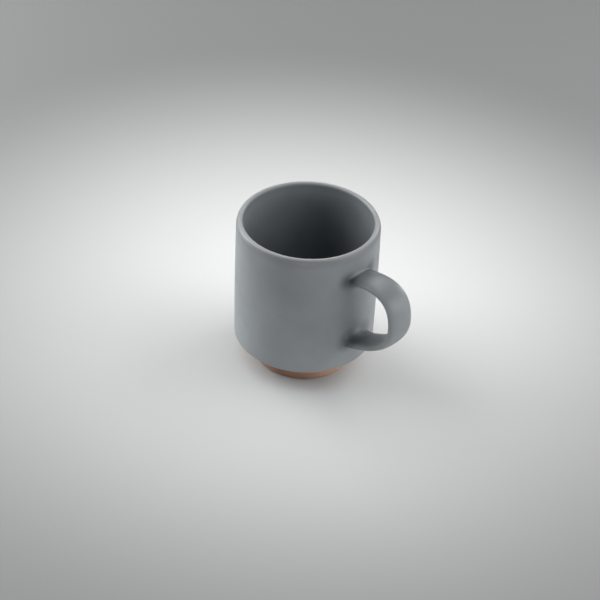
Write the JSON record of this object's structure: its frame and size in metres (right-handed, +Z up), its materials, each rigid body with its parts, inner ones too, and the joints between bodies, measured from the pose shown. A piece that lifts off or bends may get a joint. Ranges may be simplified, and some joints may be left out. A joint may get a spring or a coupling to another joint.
{
  "type": "mug",
  "caption": "Straight-sided ceramic mug with a rounded lip, a strap handle, a rounded shoulder and a narrower bare clay foot; it holds a drink and stands on its foot ring.",
  "frame": {"origin": "bottom centre of the mug's bounding box, on the surface it stands on; the cup's own axis is vertical through x = -0.01645 m", "axes": "+Z up along the cup's axis, +X towards the handle, +Y across the handle"},
  "size_m": [0.1133, 0.0804, 0.0907],
  "materials": {
    "bare_clay": "matte",
    "fired_slip": "matte",
    "grey_glaze": "satin",
    "liner_glaze": "satin"
  },
  "bodies": {
    "root": {"clay_cup": "bare_clay", "clay_handle": "bare_clay", "upper_slip_joint": "fired_slip", "lower_slip_joint": "fired_slip", "outer_glaze": "grey_glaze", "inner_glaze": "liner_glaze", "handle_glaze": "grey_glaze"}
  },
  "joints": []
}
